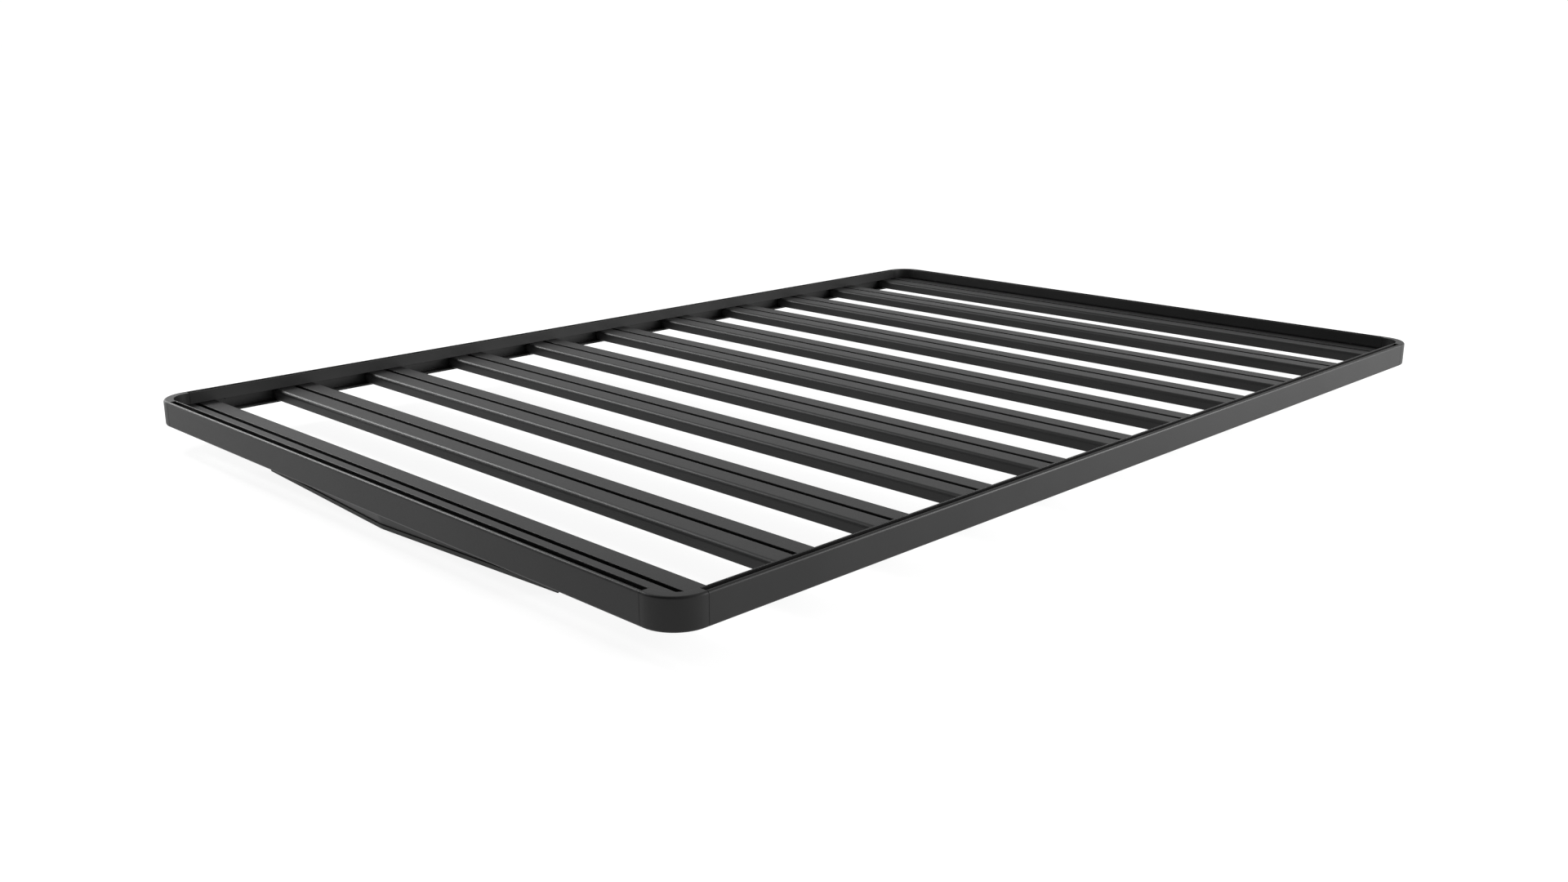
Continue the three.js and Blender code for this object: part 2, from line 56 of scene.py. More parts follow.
# Places taken from the frame, in metres.
HALF_WIDTH = -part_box("left_rail")[0].x
HALF_LENGTH = -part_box("front_rail")[0].y
FRAME_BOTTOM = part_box("left_rail")[0].z
FRAME_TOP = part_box("left_rail")[1].z

# Section sizes, in millimetres.
HEIGHT = (FRAME_TOP - FRAME_BOTTOM) / MM
GAP = 0.3  # left between neighbouring pieces
WALL = 3.0  # a rail's outer wall, and both walls of a corner
FLANGE_WIDTH = 22.0
TOP_WIDTH = 18.0
TROUGH_WALL = 2.2  # the inboard side of the trough in a rail's top
BEAD_WIDTH = 5.5  # the bead that thickens a rail's outer wall at its top
BEAD_DEPTH = 4.0
OUTER_RADIUS = 4.0
LIP_RADIUS = 0.8
DECK_DROP = 22.5  # from the frame's top down to the slats' tops
SLAT_HEIGHT = 21.4
FLANGE_THICKNESS = HEIGHT - DECK_DROP - SLAT_HEIGHT - GAP
WEB_UNDERSIDE = HEIGHT - DECK_DROP + GAP
WEB_THICKNESS = 2.7
TROUGH_FLOOR = WEB_UNDERSIDE + WEB_THICKNESS
CORNER_RADIUS = 56.0
CORNER_STUB = 5.0  # the straight stretch at each end of a corner's bend
CORNER_TOP_THICKNESS = 4.0
SPIGOT_LENGTH = 84.0
SPIGOT_HEIGHT = 12.0
SPIGOT_DRILL_LENGTH = 20.0
SLAT_WIDTH = 86.5
SLAT_TOP_RADIUS = 7.0
SLAT_BOTTOM_RADIUS = 2.0
SLAT_SKIN = 2.2
RIB_THICKNESS = 2.0
SLOT_MOUTH = 9.0
SLOT_LIP = 2.5
SLOT_WIDTH = 16.0
TOP_SLOT_DEPTH = 9.9
BOTTOM_SLOT_DEPTH = 9.3
EDGE_BREAK = 0.3  # the bevel round every sawn or cut end
EDGE_ROUND = 0.5  # outside edges of a drawn or bent section
INSIDE_ROUND = 1.0  # inside corners of rails and corner pieces
BEAD_ROUND = 0.6
CHANNEL_EDGE_ROUND = 0.7
CHANNEL_LIP_ROUND = 0.3
CHANNEL_INSIDE_ROUND = 0.4
CHANNEL_FLOOR_ROUND = 0.8
CHAMBER_ROUND = 1.2
SPIGOT_ROUND = 1.0

# Fasteners, in millimetres.
HOLE_CLEARANCE = 0.4
BOLT_RADIUS = 3.0
HEAD_RADIUS = 5.4
HEAD_HEIGHT = 3.3
SOCKET_ACROSS = 4.0
NUT_WIDTH = 12.0
NUT_HEIGHT = 4.5
SCREW_RADIUS = 2.5
SCREW_HEAD_RADIUS = 4.8
SCREW_HEAD_HEIGHT = 2.6
SCREW_SOCKET_ACROSS = 3.0
HEX_NUT_HEIGHT = 4.0
TIP_REACH = 1.0
THREAD_PITCH = 1.0
THREAD_DEPTH = 0.35
THREAD_START = 0.8  # from the face that the head bears on
TIP_BEVEL = 0.5
SOCKET_BEVEL = 0.9
SOCKET_FLOOR = 0.35  # of the head's height, from its bearing face
HEAD_EDGE = 0.1
HEAD_FOOT_BEVEL = 0.15
# A button head's crown, from the socket out to the rim: parts of the head's radius and of its height.
HEAD_PROFILE = ((0.62, 0.96), (0.82, 0.78), (0.95, 0.5), (1.0, 0.22))
NUT_BORE_CLEARANCE = 0.05
NUT_BEVEL = 0.4
NUT_FACE = 0.97  # of the nut's size across flats
NUT_BOSS = 0.6  # of the channel lip's thickness
NUT_TOP_ROUND = 0.8
BOSS_ROUND = 0.3
BOSS_ROOT_ROUND = 0.2
BOSS_ROUND_STEPS = 2

# Wind deflector, in millimetres and degrees: two arms that sweep back from a fold in the middle.
DEFLECTOR_SETBACK = 39.0
DEFLECTOR_DROP = 42.0
DEFLECTOR_HALF_WIDTH = 420.0
DEFLECTOR_LEAN = math.radians(15)
DEFLECTOR_SWEEP = math.radians(3.8)
FOLD_HALF_WIDTH = 6.0
PLATE_THICKNESS = 2.0
PLATE_HEIGHT = 45.0
PLATE_CORNER_RADIUS = 3.0
PLATE_BOLT_HEIGHT = 33.0
END_TAPER = 22.0
TRIM_WALL = 1.5
TRIM_COVER = 7.0
TRIM_END = 4.0  # how far the trim stops short of the plate's ends
TRIM_OUTER_ROUND = 1.2
TRIM_END_SOFTNESS = 0.5
BRACKET_PLACE = 260.0
BRACKET_WIDTH = 42.0
BRACKET_FOOT = 19.0
BRACKET_LEG_START = 24.0
BEND_INSIDE = 2.0
BEND_OUTSIDE = 3.5

# How finely rounds are drawn.
ROUND_STEPS = 4
FINE_ROUND_STEPS = 6
SMALL_ROUND_STEPS = 3
ARC_STEPS = 28
FOLD_STEPS = 6
TURNED_SIDES = 36
HOLE_SIDES = 28

# How meshes are cleaned and shaded: angles in degrees, the weld distance in metres.
SHARPEST_MITRE = 0.4  # the least cosine by which a corner's inset is divided
WELD_DISTANCE = 1e-7
LARGE_FACE_WEIGHT = 100
SHARP_ANGLE = 32
TURNED_SHARP_ANGLE = 40
NUT_SHARP_ANGLE = 25


# ---------------------------------------------------------------- outlines

def rounded(corners, segments=ROUND_STEPS):
    """A closed outline of 2D points from (x, y, radius) corners, given counter-clockwise."""
    outline = []
    for index, (x, y, radius) in enumerate(corners):
        here = Vector((x, y))
        before = (Vector(corners[index - 1][:2]) - here).normalized()
        after = (Vector(corners[(index + 1) % len(corners)][:2]) - here).normalized()
        half_angle = before.angle(after) / 2
        reach = radius / math.tan(half_angle)
        centre = here + (before + after).normalized() * radius / math.sin(half_angle)
        start = here + before * reach - centre
        end = here + after * reach - centre
        turn = math.atan2(start.x * end.y - start.y * end.x, start.dot(end))
        for step in range(segments + 1):
            outline.append(centre + Matrix.Rotation(turn * step / segments, 2) @ start)
    return outline


def inset(outline, amount):
    """The outline moved inwards by amount, for the broken edge at a cut end."""
    moved = []
    for index, point in enumerate(outline):
        before = point - outline[index - 1]
        after = outline[(index + 1) % len(outline)] - point
        normal_before = Vector((-before.y, before.x)).normalized()
        normal_after = Vector((-after.y, after.x)).normalized()
        normal = (normal_before + normal_after).normalized()
        moved.append(point + normal * amount / max(SHARPEST_MITRE, normal.dot(normal_before)))
    return moved


def rectangle(left, bottom, width, height, radius):
    """The outline of a rectangle with rounded corners."""
    right, top = left + width, bottom + height
    corners = [(left, bottom), (right, bottom), (right, top), (left, top)]
    return rounded([(x, y, radius) for x, y in corners], SMALL_ROUND_STEPS)


def outer_wall():
    """The corners that rails and corner pieces share, from the flange's edge round the outside."""
    return [
        (0, HEIGHT, OUTER_RADIUS),
        (0, 0, OUTER_RADIUS),
        (FLANGE_WIDTH, 0, EDGE_ROUND),
        (FLANGE_WIDTH, FLANGE_THICKNESS, EDGE_ROUND),
        (WALL, FLANGE_THICKNESS, INSIDE_ROUND),
    ]


def rail_outline():
    """A rail's section: a flange below, a web across and an open trough above it."""
    trough = TOP_WIDTH - TROUGH_WALL
    corners = outer_wall() + [
        (WALL, WEB_UNDERSIDE, INSIDE_ROUND),
        (TOP_WIDTH, WEB_UNDERSIDE, EDGE_ROUND),
        (TOP_WIDTH, HEIGHT, LIP_RADIUS),
        (trough, HEIGHT, LIP_RADIUS),
        (trough, TROUGH_FLOOR, INSIDE_ROUND),
        (WALL, TROUGH_FLOOR, INSIDE_ROUND),
        (WALL, HEIGHT - BEAD_DEPTH, BEAD_ROUND),
        (BEAD_WIDTH, HEIGHT - BEAD_DEPTH, EDGE_ROUND),
        (BEAD_WIDTH, HEIGHT, LIP_RADIUS),
    ]
    return rounded(corners)


def corner_outline():
    """A corner piece's section, as a rail's outside with a closed top."""
    inner = TOP_WIDTH - WALL
    corners = outer_wall() + [
        (WALL, HEIGHT - CORNER_TOP_THICKNESS, INSIDE_ROUND),
        (inner, HEIGHT - CORNER_TOP_THICKNESS, INSIDE_ROUND),
        (inner, WEB_UNDERSIDE, EDGE_ROUND),
        (TOP_WIDTH, WEB_UNDERSIDE, EDGE_ROUND),
        (TOP_WIDTH, HEIGHT, LIP_RADIUS),
    ]
    return rounded(corners)


def slat_outline():
    """A slat's section, with a bolt channel in its top and one underneath."""
    half, mouth, slot = SLAT_WIDTH / 2, SLOT_MOUTH / 2, SLOT_WIDTH / 2
    lip_top = SLAT_HEIGHT - SLOT_LIP
    floor_top = SLAT_HEIGHT - TOP_SLOT_DEPTH
    right = [
        (mouth, 0, EDGE_ROUND),
        (half, 0, SLAT_BOTTOM_RADIUS),
        (half, SLAT_HEIGHT, SLAT_TOP_RADIUS),
        (mouth, SLAT_HEIGHT, CHANNEL_EDGE_ROUND),
        (mouth, lip_top, CHANNEL_LIP_ROUND),
        (slot, lip_top, CHANNEL_INSIDE_ROUND),
        (slot, floor_top, CHANNEL_FLOOR_ROUND),
    ]
    top_left = [(-x, y, radius) for x, y, radius in reversed(right)]
    lower = [
        (-mouth, SLOT_LIP, CHANNEL_LIP_ROUND),
        (-slot, SLOT_LIP, CHANNEL_INSIDE_ROUND),
        (-slot, BOTTOM_SLOT_DEPTH, CHANNEL_FLOOR_ROUND),
        (slot, BOTTOM_SLOT_DEPTH, CHANNEL_FLOOR_ROUND),
        (slot, SLOT_LIP, CHANNEL_INSIDE_ROUND),
        (mouth, SLOT_LIP, CHANNEL_LIP_ROUND),
    ]
    return rounded(right + top_left + lower)


def slat_chambers():
    """The hollow chambers beside a slat's channels, two on each side."""
    inner = SLOT_WIDTH / 2 + SLAT_SKIN
    outer = SLAT_WIDTH / 2 - SLAT_SKIN
    width = (outer - inner - RIB_THICKNESS) / 2
    height = SLAT_HEIGHT - 2 * SLAT_SKIN
    lefts = [inner, inner + width + RIB_THICKNESS, -outer, -inner - width]
    return [rectangle(left, SLAT_SKIN, width, height, CHAMBER_ROUND) for left in lefts]


# ---------------------------------------------------------------- meshes

def place(origin, u, v):
    """A matrix that takes millimetres in a section's plane to metres, with u and v as its axes."""
    w = u.cross(v)
    columns = [u * MM, v * MM, w * MM, origin]
    return Matrix([[c[row] for c in columns] for row in range(3)] + [[0, 0, 0, 1]])


def new_object(name, bm):
    bmesh.ops.remove_doubles(bm, verts=bm.verts, dist=WELD_DISTANCE)
    bmesh.ops.recalc_face_normals(bm, faces=bm.faces)
    mesh = bpy.data.meshes.new(name)
    bm.to_mesh(mesh)
    bm.free()
    piece = bpy.data.objects.new(name, mesh)
    bpy.context.scene.collection.objects.link(piece)
    return piece


def finish_surface(piece, material, angle=SHARP_ANGLE):
    """Smooth rounds with true flats, the material, and the piece's place in the frame."""
    mesh = piece.data
    mesh.polygons.foreach_set("use_smooth", [True] * len(mesh.polygons))
    mesh.set_sharp_from_angle(angle=math.radians(angle))
    mesh.materials.clear()
    mesh.materials.append(material)
    weighted = piece.modifiers.new("flat_faces", "WEIGHTED_NORMAL")
    weighted.keep_sharp = True
    weighted.weight = LARGE_FACE_WEIGHT
    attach(piece, "root")
    return piece


def sweep(name, outline, stations, holes=()):
    """A closed body through stations of (matrix, inset), with holes running through all of it."""
    bm = bmesh.new()
    loops = [outline, *holes]
    rings = []
    for matrix, amount in stations:
        station = []
        for number, loop in enumerate(loops):
            shape = inset(loop, amount if number == 0 else -amount) if amount else loop
            station.append([bm.verts.new(matrix @ Vector((p.x, p.y, 0))) for p in shape])
        rings.append(station)
    for here, there in zip(rings, rings[1:]):
        for low, high in zip(here, there):
            for index in range(len(low)):
                bm.faces.new([low[index - 1], low[index], high[index], high[index - 1]])
    flat = [[Vector((p.x, p.y, 0)) for p in loop] for loop in loops]
    triangles = tessellate_polygon(flat)
    for station in (rings[0], rings[-1]):
        corners = [vertex for loop in station for vertex in loop]
        for triangle in triangles:
            bm.faces.new([corners[index] for index in triangle])
    return new_object(name, bm)


def bar(name, outline, start, end, u, v, holes=()):
    """A straight bar of one section, its two ends with broken edges."""
    along = (end - start).normalized()
    step = along * EDGE_BREAK * MM
    stations = [
        (place(start, u, v), EDGE_BREAK),
        (place(start + step, u, v), 0),
        (place(end - step, u, v), 0),
        (place(end, u, v), EDGE_BREAK),
    ]
    return sweep(name, outline, stations, holes)


def turned(name, rings, matrix, count=TURNED_SIDES, closed=False):
    """A body about the matrix's third axis through rings of (radius, height, is_hexagon)."""
    bm = bmesh.new()
    made = []
    for radius, height, hexagon in rings:
        if radius == 0:
            made.append([bm.verts.new(matrix @ Vector((0, 0, height)))] * count)
            continue
        ring = []
        for index in range(count):
            angle = 2 * math.pi * index / count
            reach = radius
            if hexagon:
                reach = radius / math.cos((angle % (math.pi / 3)) - math.pi / 6)
            spot = Vector((reach * math.cos(angle), reach * math.sin(angle), height))
            ring.append(bm.verts.new(matrix @ spot))
        made.append(ring)
    pairs = list(zip(made, made[1:]))
    if closed:
        pairs.append((made[-1], made[0]))
    for low, high in pairs:
        for index in range(count):
            corners = [low[index - 1], low[index], high[index], high[index - 1]]
            face = list(dict.fromkeys(corners))
            if len(face) > 2:
                bm.faces.new(face)
    return new_object(name, bm)


def bake_modifiers(piece):
    """Makes the evaluated mesh the piece's own."""
    graph = bpy.context.evaluated_depsgraph_get()
    baked = bpy.data.meshes.new_from_object(piece.evaluated_get(graph))
    piece.modifiers.clear()
    old = piece.data
    piece.data = baked
    baked.name = piece.name
    bpy.data.meshes.remove(old)


def drill(piece, cutters):
    """Cuts holes in a piece and keeps the result as its mesh."""
    for cutter in cutters:
        modifier = piece.modifiers.new("hole", "BOOLEAN")
        modifier.operation = "DIFFERENCE"
        modifier.solver = "EXACT"
        modifier.object = cutter
    bake_modifiers(piece)
    for cutter in cutters:
        bpy.data.objects.remove(cutter)


def hole_cutter(centre, axis, radius, length):
    """A round cutter centred on centre, for drill(), long enough to pass right through."""
    u = axis.orthogonal().normalized()
    matrix = place(centre, u, axis.cross(u))
    half = length / 2
    rings = [(0, -half, False), (radius, -half, False), (radius, half, False), (0, half, False)]
    return turned("cutter", rings, matrix, HOLE_SIDES)


# ---------------------------------------------------------------- materials

# Socket numbers of the colour mix node, whose names repeat for each data type.
MIX_FACTOR = 0
MIX_FIRST = 6
MIX_SECOND = 7
MIX_RESULT = 2

COAT_DARK = (0.0105, 0.0105, 0.0105)
COAT_LIGHT = (0.0140, 0.0140, 0.0140)
COAT_IOR = 1.31
RUBBER_IOR = 1.45

def link(tree, source, output, target, socket):
    tree.links.new(source.outputs[output], target.inputs[socket])


def new_material(name):
    material = bpy.data.materials.new(name)
    material.use_nodes = True
    tree = material.node_tree
    return material, tree, tree.nodes["Principled BSDF"]


def noise(tree, scale, detail=2.0, roughness=0.5):
    """Noise in the object's own metres, so its grain keeps a real size."""
    coordinates = tree.nodes.new("ShaderNodeTexCoord")
    node = tree.nodes.new("ShaderNodeTexNoise")
    node.inputs["Scale"].default_value = scale
    node.inputs["Detail"].default_value = detail
    node.inputs["Roughness"].default_value = roughness
    link(tree, coordinates, "Object", node, "Vector")
    return node


def spread(tree, source, low, high, start=0.3, end=0.7, output="Fac"):
    """Maps start..end of a node's output to low..high."""
    node = tree.nodes.new("ShaderNodeMapRange")
    node.inputs["From Min"].default_value = start
    node.inputs["From Max"].default_value = end
    node.inputs["To Min"].default_value = low
    node.inputs["To Max"].default_value = high
    link(tree, source, output, node, "Value")
    return node


def tint(tree, source, output, first, second):
    """Mixes from the first colour to the second as a node's output goes from 0 to 1."""
    node = tree.nodes.new("ShaderNodeMix")
    node.data_type = "RGBA"
    node.inputs[MIX_FIRST].default_value = (*first, 1)
    node.inputs[MIX_SECOND].default_value = (*second, 1)
    link(tree, source, output, node, MIX_FACTOR)
    return node


def mottle(tree, shader, source, dark, light):
    """Varies the base colour from dark to light with a noise."""
    shade = tint(tree, spread(tree, source, 0, 1), "Result", dark, light)
    link(tree, shade, MIX_RESULT, shader, "Base Color")


def roughen(tree, shader, source, low, high):
    """Varies the roughness from low to high with a noise."""
    link(tree, spread(tree, source, low, high), "Result", shader, "Roughness")


def bump(tree, shader, sources):
    """Chains bumps of (noise, strength, depth in metres) into the shader's normal."""
    previous = None
    for source, strength, depth in sources:
        node = tree.nodes.new("ShaderNodeBump")
        node.inputs["Strength"].default_value = strength
        node.inputs["Distance"].default_value = depth
        link(tree, source, "Fac", node, "Height")
        if previous:
            link(tree, previous, "Normal", node, "Normal")
        previous = node
    link(tree, previous, "Normal", shader, "Normal")


def powder_coat(name, grain_scale, grain_depth):
    """Matt black powder coat: a sandy grain over a slow orange peel, with faint cloudiness."""
    material, tree, shader = new_material(name)
    grain = noise(tree, scale=grain_scale, detail=3.0, roughness=0.6)
    peel = noise(tree, scale=210, detail=1.0)
    cloud = noise(tree, scale=9, detail=3.0)
    mottle(tree, shader, cloud, COAT_DARK, COAT_LIGHT)
    roughen(tree, shader, grain, low=0.38, high=0.5)
    shader.inputs["IOR"].default_value = COAT_IOR
    bump(tree, shader, [(peel, 0.35, 0.00012), (grain, 0.6, grain_depth)])
    return material


def black_steel():
    """Blackened steel: darker pits in a fine satin surface."""
    material, tree, shader = new_material("black_steel")
    pits = noise(tree, scale=1400, detail=4.0, roughness=0.65)
    stain = noise(tree, scale=160)
    mottle(tree, shader, stain, dark=(0.022, 0.022, 0.024), light=(0.055, 0.055, 0.058))
    shader.inputs["Metallic"].default_value = 0.85
    roughen(tree, shader, pits, low=0.28, high=0.5)
    bump(tree, shader, [(pits, 0.4, 0.00002)])
    return material


def zinc_steel():
    """Bright zinc on the sliding nuts."""
    material, tree, shader = new_material("zinc_steel")
    spangle = noise(tree, scale=700, detail=3.0, roughness=0.6)
    mottle(tree, shader, spangle, dark=(0.42, 0.43, 0.45), light=(0.6, 0.61, 0.62))
    shader.inputs["Metallic"].default_value = 1.0
    roughen(tree, shader, spangle, low=0.25, high=0.45)
    bump(tree, shader, [(spangle, 0.3, 0.00002)])
    return material


def black_rubber():
    """Extruded rubber with a chalky bloom and fine pores."""
    material, tree, shader = new_material("black_rubber")
    pores = noise(tree, scale=1700)
    bloom = noise(tree, scale=45, detail=4.0)
    mottle(tree, shader, bloom, dark=(0.012, 0.012, 0.012), light=(0.026, 0.026, 0.025))
    roughen(tree, shader, bloom, low=0.72, high=0.9)
    shader.inputs["IOR"].default_value = RUBBER_IOR
    bump(tree, shader, [(pores, 0.5, 0.00003)])
    return material


EXTRUDED = powder_coat("powder_coat_extruded", grain_scale=1500, grain_depth=0.00005)
CAST = powder_coat("powder_coat_cast", grain_scale=1150, grain_depth=0.00008)
SHEET = powder_coat("powder_coat_sheet", grain_scale=1700, grain_depth=0.00004)
STEEL = black_steel()
ZINC = zinc_steel()
RUBBER = black_rubber()


# ---------------------------------------------------------------- rails

def node_centre(node):
    low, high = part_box(node)
    return (low + high) / 2


def build_rail(node, outer_face, inboard, bolt_nodes, screw_nodes):
    """A rail between its CAD ends, drilled where its bolts and screws pass."""
    low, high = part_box(node)
    along = inboard.cross(Z_AXIS)
    half = abs((high - low).dot(along)) / 2
    middle = outer_face + Z_AXIS * FRAME_BOTTOM
    piece = bar(
        f"{node}_extrusion", rail_outline(), middle - along * half, middle + along * half, inboard, Z_AXIS,
    )
    cutters = []
    for bolt in bolt_nodes:
        spot = node_centre(bolt)
        spot.z = FRAME_BOTTOM + FLANGE_THICKNESS * MM / 2
        cutters.append(hole_cutter(spot, Z_AXIS, BOLT_RADIUS + HOLE_CLEARANCE, FLANGE_THICKNESS * 2))
    for screw in screw_nodes:
        spot = node_centre(screw)
        spot.z = FRAME_BOTTOM + (WEB_UNDERSIDE + WEB_THICKNESS / 2) * MM
        cutters.append(hole_cutter(spot, Z_AXIS, SCREW_RADIUS + HOLE_CLEARANCE, WEB_THICKNESS * 2))
    drill(piece, cutters)
    finish_surface(piece, EXTRUDED)
    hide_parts(node)


def corner_screws(end, side):
    """A corner's two screws: the one in its side rail, then the one in its front or rear rail."""
    letters = "ab" if (end == "front") == (side == "left") else "ba"
    return [f"{end}_{side}_corner_screw_{letter}" for letter in letters]


slat_nodes = sorted(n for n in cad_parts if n.startswith("slat_") and not n.endswith("bolt"))
for side, sign in (("left", -1), ("right", 1)):
    bolts = [f"{slat}_{side}_bolt" for slat in slat_nodes]
    screws = [corner_screws(end, side)[0] for end in ("front", "rear")]
    build_rail(f"{side}_rail", X_AXIS * sign * HALF_WIDTH, X_AXIS * -sign, bolts, screws)
for end, sign in (("front", -1), ("rear", 1)):
    screws = [corner_screws(end, side)[1] for side in ("left", "right")]
    build_rail(f"{end}_rail", Y_AXIS * sign * HALF_LENGTH, Y_AXIS * -sign, [], screws)


# ---------------------------------------------------------------- corners

def corner_stations(centre, side_out, end_out):
    """Stations from the side rail's end of a corner, round its bend, to the other rail's end."""
    stub = CORNER_STUB * MM
    edge = EDGE_BREAK * MM
    radius = CORNER_RADIUS * MM
    base = centre + Z_AXIS * FRAME_BOTTOM

    def straight(outward, distance, amount):
        across = side_out if outward == end_out else end_out
        origin = base + outward * radius - across * distance
        return (place(origin, -outward, Z_AXIS), amount)

    stations = [
        straight(side_out, stub, EDGE_BREAK),
        straight(side_out, stub - edge, 0),
    ]
    for step in range(ARC_STEPS + 1):
        angle = math.pi / 2 * step / ARC_STEPS
        outward = side_out * math.cos(angle) + end_out * math.sin(angle)
        stations.append((place(base + outward * radius, -outward, Z_AXIS), 0))
    stations.append(straight(end_out, stub - edge, 0))
    stations.append(straight(end_out, stub, EDGE_BREAK))
    return stations


def build_spigot(name, node, centre, outward, along, screw_node):
    """The tongue that runs from a corner into a rail's trough, with its threaded hole."""
    width = TOP_WIDTH - TROUGH_WALL - WALL - 2 * GAP
    outline = rectangle(WALL + GAP, TROUGH_FLOOR + GAP, width, SPIGOT_HEIGHT, SPIGOT_ROUND)
    origin = centre + outward * CORNER_RADIUS * MM + Z_AXIS * FRAME_BOTTOM
    start = origin + along * (CORNER_STUB - 2 * EDGE_BREAK) * MM
    end = origin + along * (CORNER_STUB + SPIGOT_LENGTH) * MM
    piece = bar(name, outline, start, end, -outward, Z_AXIS)
    spot = node_centre(screw_node)
    spot.z = FRAME_BOTTOM + (TROUGH_FLOOR + GAP) * MM
    drill(piece, [hole_cutter(spot, Z_AXIS, SCREW_RADIUS + GAP, SPIGOT_DRILL_LENGTH)])
    finish_surface(piece, CAST)
    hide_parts(node)


for end, end_sign in (("front", -1), ("rear", 1)):
    for side, side_sign in (("left", -1), ("right", 1)):
        node = f"{end}_{side}_corner"
        side_out, end_out = X_AXIS * side_sign, Y_AXIS * end_sign
        centre = side_out * (HALF_WIDTH - CORNER_RADIUS * MM) + end_out * (HALF_LENGTH - CORNER_RADIUS * MM)
        corner = sweep(f"{node}_casting", corner_outline(), corner_stations(centre, side_out, end_out))
        finish_surface(corner, CAST)
        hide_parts(node)
        side_screw, end_screw = corner_screws(end, side)
        build_spigot(f"{node}_side_spigot", node, centre, side_out, -end_out, side_screw)
        build_spigot(f"{node}_end_spigot", node, centre, end_out, -side_out, end_screw)


# ---------------------------------------------------------------- slats

def build_slat(node):
    """A slat between its CAD ends, with its chambers running through."""
    low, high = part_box(node)
    middle_y = (low.y + high.y) / 2
    start, end = Vector((low.x, middle_y, low.z)), Vector((high.x, middle_y, low.z))
    piece = bar(f"{node}_extrusion", slat_outline(), start, end, Y_AXIS, Z_AXIS, slat_chambers())
    finish_surface(piece, EXTRUDED)
    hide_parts(node)


for slat_node in slat_nodes:
    build_slat(slat_node)


# ---------------------------------------------------------------- fasteners

def button_bolt(name, bearing, axis, shank, head_radius, head_height, socket, reach):
    """A button-head bolt with a hexagon socket. Its head bears at bearing, and axis is the way it goes in."""
    u = axis.orthogonal().normalized()
    matrix = place(bearing, u, axis.cross(u))
    socket_floor = -head_height * SOCKET_FLOOR
    crown = head_height * HEAD_PROFILE[0][1]
    rings = [
        (0, socket_floor, False),
        (socket / 2, socket_floor, True),
        (socket / 2, -crown, True),
        (socket / 2 + SOCKET_BEVEL, -head_height, False),
        *((head_radius * across, -head_height * up, False) for across, up in HEAD_PROFILE),
        (head_radius, -HEAD_EDGE, False),
        (head_radius - HEAD_FOOT_BEVEL, 0, False),
        (shank + EDGE_BREAK, 0, False),
        (shank, EDGE_BREAK, False),
    ]
    turns = int((reach - 2 * THREAD_START) / THREAD_PITCH)
    for turn in range(turns):
        base = THREAD_START + turn * THREAD_PITCH
        rings.append((shank, base, False))
        rings.append((shank - THREAD_DEPTH, base + THREAD_PITCH / 2, False))
    rings.append((shank, THREAD_START + turns * THREAD_PITCH, False))
    rings.append((shank - TIP_BEVEL, reach, False))
    rings.append((0, reach, False))
    piece = turned(name, rings, matrix)
    return finish_surface(piece, STEEL, TURNED_SHARP_ANGLE)


def sliding_nut(name, low_z, centre, along):
    """A sliding nut with a raised boss that keeps to the channel's mouth."""
    half, boss = NUT_WIDTH / 2, SLOT_MOUTH / 2 - GAP
    corners = [
        (-boss, -SLOT_LIP * NUT_BOSS, BOSS_ROUND),
        (boss, -SLOT_LIP * NUT_BOSS, BOSS_ROUND),
        (boss, 0, BOSS_ROOT_ROUND),
        (half, 0, EDGE_ROUND),
        (half, NUT_HEIGHT, NUT_TOP_ROUND),
        (-half, NUT_HEIGHT, NUT_TOP_ROUND),
        (-half, 0, EDGE_ROUND),
        (-boss, 0, BOSS_ROOT_ROUND),
    ]
    across = Z_AXIS.cross(along)
    origin = Vector((centre.x, centre.y, low_z))
    reach = along * half * MM
    piece = bar(name, rounded(corners, BOSS_ROUND_STEPS), origin - reach, origin + reach, across, Z_AXIS)
    cutter = hole_cutter(origin, Z_AXIS, BOLT_RADIUS + NUT_BORE_CLEARANCE, NUT_HEIGHT * 4)
    drill(piece, [cutter])
    return finish_surface(piece, ZINC)


NUT_BASE = FLANGE_THICKNESS + GAP + SLOT_LIP + GAP


def build_clamp_bolt(node):
    """The bolt and nut at a slat's end or at a bracket's foot."""
    centre = node_centre(node)
    bearing = Vector((centre.x, centre.y, FRAME_BOTTOM - GAP * MM))
    reach = NUT_BASE + NUT_HEIGHT + TIP_REACH + GAP
    bolt = button_bolt(
        f"{node}_screw", bearing, Z_AXIS, BOLT_RADIUS, HEAD_RADIUS, HEAD_HEIGHT, SOCKET_ACROSS, reach,
    )
    nut = sliding_nut(f"{node}_nut", FRAME_BOTTOM + NUT_BASE * MM, centre, X_AXIS)
    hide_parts(node)
    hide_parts(node)


def build_corner_screw(node):
    """A screw that goes up through a rail's web into a corner's spigot."""
    low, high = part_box(node)
    bearing = node_centre(node)
    bearing.z = low.z + SCREW_HEAD_HEIGHT * MM
    screw = button_bolt(
        f"{node}_button", bearing, Z_AXIS, SCREW_RADIUS, SCREW_HEAD_RADIUS, SCREW_HEAD_HEIGHT,
        SCREW_SOCKET_ACROSS, (high.z - bearing.z) / MM,
    )
    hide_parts(node)


for node in sorted(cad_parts):
    if "corner_screw" in node:
        build_corner_screw(node)
    elif node.endswith("slat_bolt") or (node.startswith("slat_") and node.endswith("bolt")):
        build_clamp_bolt(node)


# ---------------------------------------------------------------- wind deflector

